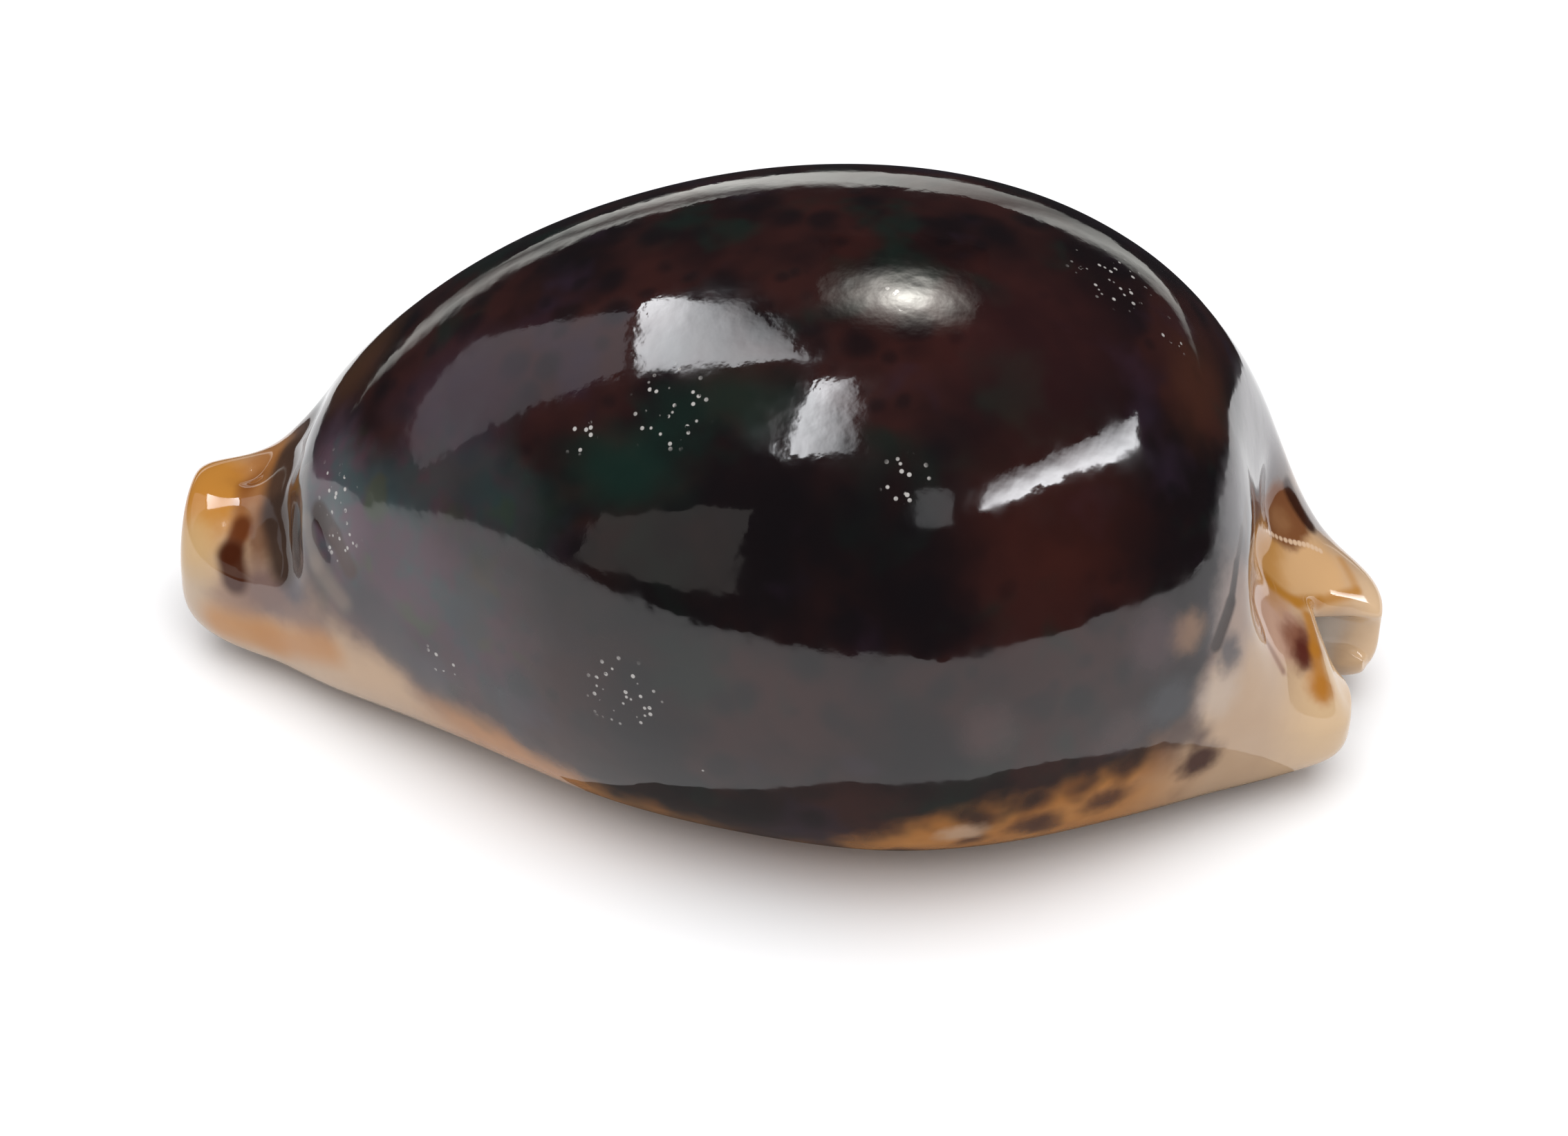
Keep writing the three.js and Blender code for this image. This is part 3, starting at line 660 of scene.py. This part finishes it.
# a row of pale beads under the brown patch
BEAD_RADIUS = 0.18
BEAD_RIM = 0.063
BEADS_A_LEG = 4
string = [(27.5, 2.2, 13.4), (28.2, 3.0, 12.1), (29.3, 3.6, 11.2), (30.3, 4.2, 10.5), (31.4, 4.6, 9.8)]
legs = zip(string, string[1:])
strung = [Vector(p).lerp(Vector(q), k / BEADS_A_LEG) for p, q in legs for k in range(BEADS_A_LEG)]
nearest = least(*(distance(at, mm) for at in strung))
beads = fade(nearest, BEAD_RADIUS - BEAD_RIM, BEAD_RADIUS + BEAD_RIM, 0.9, 0.0)
colour = mixed(beads, colour, (0.60, 0.420, 0.280))

# pinpoint white specks in loose clusters
dots = fade(cells(1.75, 0.9, mm), 0.17, 0.26, 1.0, 0.0)
clusters = [
    ((-6.7, -18.8, 14.2), 2.2), ((-1.7, -20.3, 10.6), 0.7), ((-5.4, -10.8, 28.2), 2.2),
    ((7.8, -14.0, 27.6), 1.3), ((17.6, 2.2, 30.0), 2.4), ((6.4, -4.4, 32.3), 1.0),
    ((-17.7, -13.3, 10.2), 1.1), ((-24.8, -6.1, 16.5), 1.8), ((-24.0, -8.0, 14.0), 1.4),
    ((-10.3, -10.9, 25.7), 1.0), ((-16.0, 9.0, 24.0), 1.8), ((9.0, 17.0, 20.0), 2.0),
    ((-3.0, 15.0, 26.0), 1.5), ((21.0, 0.5, 27.5), 1.2),
]
in_radii = least(*(times(distance(at, fine_bend), 1 / radius) for at, radius in clusters))
specks = times(dots, fade(in_radii, 0.75, 1.25, 0.85, 0.0), fade(grain, 0.36, 0.46))
colour = mixed(specks, colour, (0.42, 0.40, 0.38))

# the aperture and the lining are plain porcelain
porcelain = mixed(wander, (0.42, 0.34, 0.27), (0.50, 0.43, 0.36))
colour = mixed(skin_share, porcelain, colour)

# the glaze isn't quite even: long shallow waves, and a pebbled skin here and there and along the crest
RELIEF_HEIGHT = 0.000035
waves = noise(0.42, 2, 0.45).outputs["Fac"]
crest = fade(up_z, 24.0, 30.0)
patchy = most(fade(noise(0.13, 2).outputs["Fac"], 0.50, 0.62), times(crest, 0.7))
pebbled = times(noise(4.5, 2).outputs["Fac"], patchy, 0.045)
ripples = times(noise(1.3, 2).outputs["Fac"], added(times(crest, 0.16), 0.05))
relief = added(waves, pebbled, ripples)
bump = node("ShaderNodeBump", {"Height": relief, "Strength": 1.0, "Distance": RELIEF_HEIGHT})
gloss = fade(noise(0.3, 2, 0.7).outputs["Fac"], 0.3, 0.8, 0.035, 0.13)

shader = node("ShaderNodeBsdfPrincipled", {
    "Base Color": colour,
    "Roughness": gloss,
    "IOR": 1.53,
    "Normal": bump.outputs["Normal"],
})
node("ShaderNodeOutputMaterial", {"Surface": shader.outputs[0]})
mesh.materials.append(enamel)

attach(shell, "root")
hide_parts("shell")


# Floor: a plain pale table top. In the glaze it is a white sheet instead, which ends behind the shell
# and on its right, and is in the shell's own shade close to its foot.
def plain(name, colour):
    made = bpy.data.materials.new(name)
    made.use_nodes = True
    principled = made.node_tree.nodes["Principled BSDF"]
    principled.inputs["Base Color"].default_value = (*colour, 1)
    principled.inputs["Roughness"].default_value = 0.8
    principled.inputs["Specular IOR Level"].default_value = 0.2
    return made


def plate(name, corners, material, glows=(), cuts=0):
    """One flat face of the stage. Each corner can have its own glow, for a material that reads it."""
    bm = bmesh.new()
    glow = bm.verts.layers.float.new("glow")
    verts = [bm.verts.new(corner) for corner in corners]
    for vert, value in zip(verts, glows):
        vert[glow] = value
    bm.faces.new(verts)
    if cuts:
        bmesh.ops.subdivide_edges(bm, edges=bm.edges, cuts=cuts, use_grid_fill=True)
    mesh = bpy.data.meshes.new(name)
    bm.to_mesh(mesh)
    bm.free()
    mesh.materials.append(material)
    made = bpy.data.objects.new(name, mesh)
    bpy.context.scene.collection.objects.link(made)
    return made


def glaze_only(made):
    """The camera and the other light go past this, and only mirror images of it show."""
    made.visible_camera = made.visible_diffuse = made.visible_shadow = False


pale = plain("pale_floor", (0.86, 0.86, 0.86))
floor = plate("floor", ((-3, -3, 0), (3, -3, 0), (3, 3, 0), (-3, 3, 0)), pale)
floor.visible_glossy = False
SHEET_HEIGHT = 0.0001
SHADE_HEIGHT = 0.0003
sheet = [(-1.2, -1.6), (0.16, -1.6), (0.16, 0.064), (0.03, 0.044), (-0.05, 0.034), (-1.2, 0.034)]
glaze_only(plate("white_sheet", [(x, y, SHEET_HEIGHT) for x, y in sheet], pale))
# the shade's outline, in mm
shade = [
    (-12, -14), (-8, -22), (-1, -27), (5, -32), (14, -31.5), (22, -28), (28, -25), (31, -19.5),
    (34, -16), (33, -10), (30, -2), (10, 0),
]
shaded = plain("shaded_sheet", (0.20, 0.19, 0.18))
glaze_only(plate("shade_by_foot", [(x / 1000, y / 1000, SHADE_HEIGHT) for x, y in shade], shaded))

# the room: the backdrop for the camera, soft light for all else, and near darkness for the glaze
world = bpy.data.worlds.new("room")
world.use_nodes = True
bpy.context.scene.world = world
air = world.node_tree
air.nodes.clear()
path = air.nodes.new("ShaderNodeLightPath")
for_camera, for_rest, for_glaze = (air.nodes.new("ShaderNodeBackground") for _ in range(3))
for_camera.inputs["Color"].default_value = (0.9, 0.9, 0.9, 1)
for_rest.inputs["Color"].default_value = (0.5, 0.5, 0.52, 1)
for_glaze.inputs["Color"].default_value = (0.02, 0.02, 0.022, 1)
glaze_or_rest, camera_or_not = (air.nodes.new("ShaderNodeMixShader") for _ in range(2))
out = air.nodes.new("ShaderNodeOutputWorld")
for source, socket in [
    (path.outputs["Is Glossy Ray"], glaze_or_rest.inputs[0]),
    (for_rest.outputs[0], glaze_or_rest.inputs[1]),
    (for_glaze.outputs[0], glaze_or_rest.inputs[2]),
    (path.outputs["Is Camera Ray"], camera_or_not.inputs[0]),
    (glaze_or_rest.outputs[0], camera_or_not.inputs[1]),
    (for_camera.outputs[0], camera_or_not.inputs[2]),
    (camera_or_not.outputs[0], out.inputs["Surface"]),
]:
    air.links.new(source, socket)

# Lights: one big soft box overhead for the whole scene, which the glaze doesn't show. What the glaze
# shows are windows, a door, a lamp and lit walls, and these light nothing else.
OVERHEAD_POWER = 22
OVERHEAD_SIZE = 1.6
OVERHEAD_DISTANCE = 1.2
overhead_data = bpy.data.lights.new("overhead", "AREA")
overhead_data.shape = "RECTANGLE"
overhead_data.size = overhead_data.size_y = OVERHEAD_SIZE
overhead_data.energy = OVERHEAD_POWER
overhead = bpy.data.objects.new("overhead", overhead_data)
bpy.context.scene.collection.objects.link(overhead)
toward = Vector((0, -0.2, 1)).normalized()
overhead.location = Vector((0, 0, 0.015)) + toward * OVERHEAD_DISTANCE
overhead.rotation_euler = toward.to_track_quat("Z", "Y").to_euler()
overhead.visible_glossy = False


def pane(name, corners, glows, tint, strength, falloff=1.0, cuts=7):
    """A lit surface that only the glaze reflects: corners in mm, and the glow at each corner."""
    made = bpy.data.materials.new(name)
    made.use_nodes = True
    nodes, links = made.node_tree.nodes, made.node_tree.links
    nodes.clear()
    glow = nodes.new("ShaderNodeAttribute")
    glow.attribute_name = "glow"
    steeper = nodes.new("ShaderNodeMath")
    steeper.operation = "POWER"
    steeper.inputs[1].default_value = falloff
    bright = nodes.new("ShaderNodeMath")
    bright.operation = "MULTIPLY"
    bright.inputs[1].default_value = strength
    light = nodes.new("ShaderNodeEmission")
    light.inputs["Color"].default_value = (*tint, 1)
    out = nodes.new("ShaderNodeOutputMaterial")
    links.new(glow.outputs["Fac"], steeper.inputs[0])
    links.new(steeper.outputs[0], bright.inputs[0])
    links.new(bright.outputs[0], light.inputs["Strength"])
    links.new(light.outputs[0], out.inputs["Surface"])
    lit = plate(name, [Vector(c) / 1000 for c in corners], made, glows, cuts)
    glaze_only(lit)
    return lit


day = (0.95, 0.97, 1.0)
pane(
    "window_left",
    ((-457, 51, 561), (-154, 60, 709), (-247, 325, 597), (-383, 370, 486)),
    (0.75, 0.4, 0.08, 1), day, 15, 1.3,
)
pane(
    "window_right",
    ((-225, -329, 609), (-41, -300, 664), (-73, 16, 725), (-148, -26, 713)),
    (0.9, 0, 0.15, 1), day, 17,
)
pane(
    "window_far",
    ((352, -421, 482), (654, 61, 312), (609, 188, 349), (356, -323, 552)),
    (1, 1, 0.45, 0.05), day, 20, 1.5,
)
pane(
    "door",
    ((167, -527, 476), (275, -492, 463), (247, -388, 569), (144, -418, 582)),
    (1, 1, 1, 1), day, 1.2,
)

# the lamp is brightest in the middle, and dark before it reaches its corners
LAMP_REACH = 0.6
lamp = pane(
    "lamp",
    ((-120, 60, 740), (145, 110, 720), (130, 640, 460), (-135, 600, 470)),
    (0, 0, 0, 0), (1, 0.97, 0.9), 28, 4.0, cuts=15,
)
lamp_verts = lamp.data.vertices
lamp_middle = sum((v.co for v in lamp_verts), Vector()) / len(lamp_verts)
lamp_radius = LAMP_REACH * max((v.co - lamp_middle).length for v in lamp_verts)
for vert, glow in zip(lamp_verts, lamp.data.attributes["glow"].data):
    glow.value = max(0.0, 1 - (vert.co - lamp_middle).length / lamp_radius)

pane(
    "wall_left",
    ((-705, -104, 117), (-479, 71, 539), (-419, 326, 488), (-560, 381, 242)),
    (0.5, 1, 1, 0.8), (0.95, 0.93, 1), 1.0,
)
pane(
    "wall_front",
    ((-597, -394, 46), (-290, -642, 148), (-266, -493, 462), (-564, -375, 248)),
    (1, 1, 1, 1), (1, 0.95, 0.9), 0.5,
)
# the back wall, in upright stripes from left to right: x at its near and at its far edge, and its glow
NEAR_EDGE = (160, 1)
FAR_EDGE = (800, 110)
back_wall = [
    (-260, -420, 0), (-170, -270, 0.8), (-115, -160, 0.12), (-45, -60, 1), (35, 60, 0.2),
    (80, 130, 0.85), (150, 260, 0.05),
]
for k, (left, right) in enumerate(zip(back_wall, back_wall[1:])):
    corners = ((left[0], *NEAR_EDGE), (right[0], *NEAR_EDGE), (right[1], *FAR_EDGE), (left[1], *FAR_EDGE))
    pane(f"back_wall_{k}", corners, (left[2], right[2], right[2], left[2]), (1, 1, 0.95), 1.9)

# Camera: a little above and in front, as the photo was taken. The middle of the picture is a little
# below the point that it turns about.
LENS = 114.97
SENSOR_WIDTH = 36
DISTANCE = 0.290
MIDDLE_BELOW = 0.00298
TURNS_ABOUT = Vector((0, 0.0003, 0.012))
azimuth, elevation, roll = (math.radians(degrees) for degrees in (5.5, 40, 2.2))
camera_data = bpy.data.cameras.new("camera")
camera_data.sensor_width = SENSOR_WIDTH
camera_data.lens = LENS
camera_data.clip_start = 0.01
camera = bpy.data.objects.new("camera", camera_data)
bpy.context.scene.collection.objects.link(camera)
back_axis = Vector((
    math.sin(azimuth) * math.cos(elevation),
    -math.cos(azimuth) * math.cos(elevation),
    math.sin(elevation),
))
level_right = Vector((math.cos(azimuth), math.sin(azimuth), 0))
level_up = back_axis.cross(level_right)
up = level_up * math.cos(roll) - level_right * math.sin(roll)
camera.location = TURNS_ABOUT + back_axis * DISTANCE
aim = TURNS_ABOUT - up * MIDDLE_BELOW
look = (camera.location - aim).normalized()
side_axis = up.cross(look).normalized()
top_axis = look.cross(side_axis)
camera.rotation_euler = Matrix((side_axis, top_axis, look)).transposed().to_euler()
bpy.context.scene.camera = camera

bpy.context.scene.view_settings.view_transform = "Standard"
